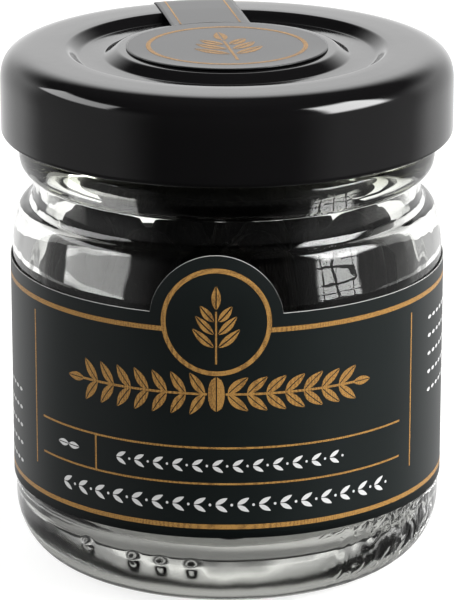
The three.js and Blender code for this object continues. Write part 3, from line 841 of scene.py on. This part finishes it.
def labelPale(s):
    divider = alongFor(s["divider"])
    middle = (s["upperThin"] + s["lowerThin"]) / 2
    made = leafRow(divider + 2.4, 12.6, middle, 1.95, 1.2)
    made += leaf((divider - 3.6, middle), 0, 1.5, 0.7) + leaf((divider - 3.6, middle), 180, 1.5, 0.7)
    made += leafRow(-17.2, 16.8, 11.65, 2.1, 1.35)
    for row in range(5):
        made += lozenges(26.0, 36.0 - row % 2, 26.6 - 1.9 * row, 1.25, 0.85, 0.36)
        made += lozenges(-36.0, -25.6 + row % 2 * 0.6, 18.6 - 1.9 * row, 1.25, 0.85, 0.36)
    return made


printPiece("labelGoldInk", labelGold(label), ontoLabel, goldInk, "jar", "label_paper")
printPiece("labelPaleInk", labelPale(label), ontoLabel, paleInk, "jar", "label_paper")
print("label printed")


# Paper seal: a disc on the lid's button, and a strip back over the edge

seal = {
    "radius": 10.05, "bottom": 52.03, "thickness": 0.14, "stripWidth": 8.1, "angle": 10, "stripEnd": 44.4,
    "lift": 0.05, "frontLift": 0.1, "rings": 26, "columns": 160,
    "ringRadius": 7.84, "ringWidth": 0.45, "lineFromMiddle": 3.05, "lineWidth": 0.16,
}


def sealTurn(points):
    # The whole seal is turned a little about the axis.
    turn = math.radians(seal["angle"])
    x, y = points[..., 0].copy(), points[..., 1].copy()
    points[..., 0] = x * math.cos(turn) - y * math.sin(turn)
    points[..., 1] = x * math.sin(turn) + y * math.cos(turn)
    return points


def discHeight(x, y):
    # The front edge has come up a little: lift (r / R)^6, only towards -Y.
    r = np.hypot(x, y) / seal["radius"]
    front = smoothStep(-y / np.maximum(np.hypot(x, y), 1e-6), 0.1, 0.9)
    return seal["bottom"] + seal["frontLift"] * r ** 6 * front


def discShape(s):
    # Rings of a flat disc, upper side out and lower side back in.
    out = np.sqrt(np.linspace(0, 1, s["rings"]))[:, None] * s["radius"]
    angles = np.radians(np.arange(s["columns"]) * 360 / s["columns"])
    both = np.vstack([out, out[::-1]])
    x, y = both * np.sin(angles), -both * np.cos(angles)
    height = discHeight(x, y) + np.where(np.arange(len(both))[:, None] < len(out), s["thickness"], 0)
    points, faces = turnedShape(np.repeat(both, len(angles), 1), height, angles)
    return sealTurn(points), faces


def stripPath(s):
    # Seen from the side: back from the disc, across the channel to the crest, and down the skirt.
    path = np.vstack([
        [[9.0, s["bottom"]], [lid["buttonRadius"], lid["buttonHeight"] + s["lift"]]],
        [[lid["crestInner"], lid["crestHeight"] + s["lift"]]],
        lidShoulder(lid, s["lift"]),
        [[lid["radius"] + s["lift"], s["stripEnd"]]],
    ])
    run = np.r_[0, np.cumsum(np.hypot(*np.diff(path, axis=0).T))]
    even = np.linspace(0, run[-1], 120)
    return np.stack([np.interp(even, run, path[:, 0]), np.interp(even, run, path[:, 1])], axis=-1), even


def stripPoints(s, side, share, lift):
    # Side to side by along the path. It starts on the disc's edge, and past it a point keeps its distance
    # from the axis, so that the strip lies on the round skirt.
    path, even = stripPath(s)
    slope = np.gradient(path, axis=0)
    slope /= np.linalg.norm(slope, axis=1, keepdims=True)
    begin = np.interp(np.sqrt(s["radius"] ** 2 - side ** 2), path[:, 0], even)
    run = begin + (even[-1] - begin) * share
    reach = np.interp(run, even, path[:, 0]) - np.interp(run, even, slope[:, 1]) * lift
    height = np.interp(run, even, path[:, 1]) + np.interp(run, even, slope[:, 0]) * lift
    bent = smoothStep(run, 1.2, 9.5)
    y = reach * (1 - bent) + np.sqrt(np.maximum(reach ** 2 - side ** 2, 0)) * bent
    return sealTurn(np.stack([side + 0 * run, y, height], axis=-1))


def stripShape(s):
    side = np.linspace(-s["stripWidth"] / 2, s["stripWidth"] / 2, 25)[None, :]
    share = np.linspace(0, 1, 80)[:, None]
    return sheetShape(stripPoints(s, side, share, s["thickness"]), stripPoints(s, side, share, 0.0))


def ontoDisc(points):
    x, y = points[:, 0], points[:, 1]
    height = discHeight(x, y) + seal["thickness"] + label["inkLift"]
    return sealTurn(np.stack([x, y, height], axis=-1))


def ontoStrip(points):
    # Here a point is [across, share of the way down].
    return stripPoints(seal, points[:, 0], points[:, 1], seal["thickness"] + label["inkLift"])


sealPaper = paperFinish("sealPaper", (0.016, 0.0165, 0.0175), 0.3)
makePiece("sealDisc", *discShape(seal), [sealPaper], "lid", "seal_paper", ["lid_seal"])
makePiece("sealStrip", *stripShape(seal), [sealPaper], "lid", "seal_paper", ["lid_seal"])


def sealGold(s):
    return [ringStroke((0, 0), s["ringRadius"], s["ringWidth"])] + sprig((0, -0.3), 6.2)


def stripGold(s):
    # Two lines down the strip.
    share = np.linspace(0.004, 0.995, 60)
    half = s["lineWidth"] / 2
    made = []
    for side in (-s["lineFromMiddle"], s["lineFromMiddle"]):
        edges = [np.stack([np.full(60, x), share], axis=-1) for x in (side - half, side + half)]
        made.append(np.stack(edges, axis=1))
    return made


printPiece("sealGoldInk", sealGold(seal), ontoDisc, goldInk, "lid", "seal_paper")
printPiece("stripGoldInk", stripGold(seal), ontoStrip, goldInk, "lid", "seal_paper")
print("seal made")


# Tonka beans

beans = {
    "seed": 20431, "outer": 8, "inner": 3, "outerCircle": 14, "innerCircle": 5,
    # each measure of a standing one is a least value and what a draw adds to it
    "outerSize": {"length": (33.4, 1.2), "width": (9.9, 0.3), "thickness": (8.2, 0.5), "bow": (0, -0.5)},
    "innerSize": {"length": (33.8, 0.5), "width": (8.5, 0.2), "thickness": (8.1, 0.3)},
    # across the tops of the standing ones: [length, width, across, turn in degrees]
    "lying": [(27.5, 9.6, -10.2, 3), (33, 9.3, 0, -2), (27, 9.6, 10.2, 4)], "lyingThickness": 6.2,
    "rings": 84, "sides": 80, "cadRings": 11, "ridges": 7, "wrinkle": 0.016,
    "skin": (0.0019, 0.0015, 0.0013), "worn": (0.0085, 0.0052, 0.0038), "dust": (0.06, 0.056, 0.05),
}


def seededDraws(seed):
    # Draws from 0 to 1 that are the same on every run: s = 16807 s mod (2^31 - 1).
    state = seed
    while True:
        state = state * 16807 % 2147483647
        yield state / 2147483647


def beanShape(s, size, draws):
    # Along Z with t from -1 to 1: swell = (1 - |t|^2.6)^0.5 (1 - 0.06 t), broad ridges that wander along it,
    # and finer wrinkles on them.
    phase, drift = next(draws) * 2 * math.pi, (next(draws) - 0.5) * 1.6
    t = -np.cos(math.pi * np.arange(s["rings"]) / (s["rings"] - 1))[:, None]
    a = np.linspace(0, 2 * math.pi, s["sides"], endpoint=False)[None, :]
    swell = np.maximum(1 - np.abs(t) ** 2.6, 0) ** 0.5 * (1 - 0.06 * t)
    ridge = np.cos(s["ridges"] * a + phase + drift * t) * 0.6 + np.cos(3 * a - phase + 2 * t) * 0.4
    fine = np.cos(17 * a + 2 * phase + 1.4 * np.sin(2.3 * t + phase)) * 0.55
    fine = fine + np.cos(29 * a - phase + 2.2 * np.sin(3.1 * t)) * 0.3
    fine = fine + np.cos(11 * a + 19 * t + phase) * 0.15
    scale = swell * (1 - 0.045 + 0.045 * ridge + s["wrinkle"] * (fine - 0.4))
    x = size["width"] / 2 * np.cos(a) * scale
    y = size["thickness"] / 2 * np.sin(a) * scale + size["bow"] * (1 - t * t) - size["bow"] / 2
    z = size["length"] / 2 * math.cos(math.pi / 2 / s["cadRings"]) * t + 0 * a
    return x, y, z


def placeBean(s, name, node, x, y, z, turn, skin):
    # It stands on its lowest point, goes round to its place, and its two ends are closed with fans.
    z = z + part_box(node)[0].z / millimetre - z.min()
    x, y = x * math.cos(turn) - y * math.sin(turn), x * math.sin(turn) + y * math.cos(turn)
    grid = np.stack([x, y, z], axis=-1)
    points = np.vstack([grid[1:-1].reshape(-1, 3), grid[:1, 0], grid[-1:, 0]])
    makePiece(name, points, ringFaces(s["rings"] - 2, s["sides"]), [skin], "jar", "bean_skin", [node])


def beanFinish(s):
    # Near-black wrinkled skin, browner on worn ridges, with a dust of pale crystals in patches.
    skin, tree, shader = newFinish("beanSkin", s["skin"], 0.7, Specular_IOR_Level=0.03)
    long = placeOn(tree, (1, 1, 0.22))
    wrinkles = noiseOn(tree, long, 0.55, 5.0, 0.6)
    patches = noiseOn(tree, placeOn(tree), 3.2, 3.0)
    worn = maths(tree, "MULTIPLY", rangeOf(tree, wrinkles, 0.5, 0.78), rangeOf(tree, patches, 0.46, 0.7))
    colour = mixColours(tree, worn, s["skin"], s["worn"])
    cells = {"Vector": placeOn(tree), "Scale": 1.1}
    specks = addNode(tree, "ShaderNodeTexVoronoi", cells).outputs["Distance"]
    specks = rangeOf(tree, specks, 0.05, 0.1, 1.0, 0.0)
    dust = maths(tree, "MULTIPLY", specks, rangeOf(tree, patches, 0.5, 0.6))
    tree.links.new(mixColours(tree, dust, colour, s["dust"]), shader.inputs["Base Color"])
    tree.links.new(rangeOf(tree, wrinkles, 0.3, 0.7, 0.55, 0.8), shader.inputs["Roughness"])
    bumpFrom(tree, shader, wrinkles, 0.7, 0.35)
    return skin


def fillJar(s):
    draws = seededDraws(s["seed"])
    skin = beanFinish(s)
    for i in range(s["outer"] + s["inner"]):
        outer = i < s["outer"]
        size = {"bow": 0}
        for measure, (least, more) in s["outerSize" if outer else "innerSize"].items():
            size[measure] = least + more * next(draws)
        x, y, z = beanShape(s, size, draws)
        tilt = math.radians(5 + 1.2 * next(draws) if outer else 4)
        x, z = x * math.cos(tilt) + z * math.sin(tilt), -x * math.sin(tilt) + z * math.cos(tilt)
        if not outer:
            next(draws)  # the solid's own lift, which its box already holds
        next(draws)
        share = i / s["outer"] if outer else (i - s["outer"]) / s["inner"]
        turn = share * 2 * math.pi + (0.12 if outer else 0.6)
        y = y - (s["outerCircle"] if outer else s["innerCircle"])
        placeBean(s, f"tonkaBean{i + 1:02d}", f"bean_{i + 1:02d}", x, y, z, turn, skin)
    for i, (length, width, across, turn) in enumerate(s["lying"], s["outer"] + s["inner"] + 1):
        size = {"length": length, "width": width, "thickness": s["lyingThickness"], "bow": 0}
        x, y, z = beanShape(s, size, draws)
        next(draws)
        placeBean(s, f"tonkaBean{i:02d}", f"bean_{i:02d}", z, x + across, y, math.radians(turn), skin)


fillJar(beans)
print("beans made")
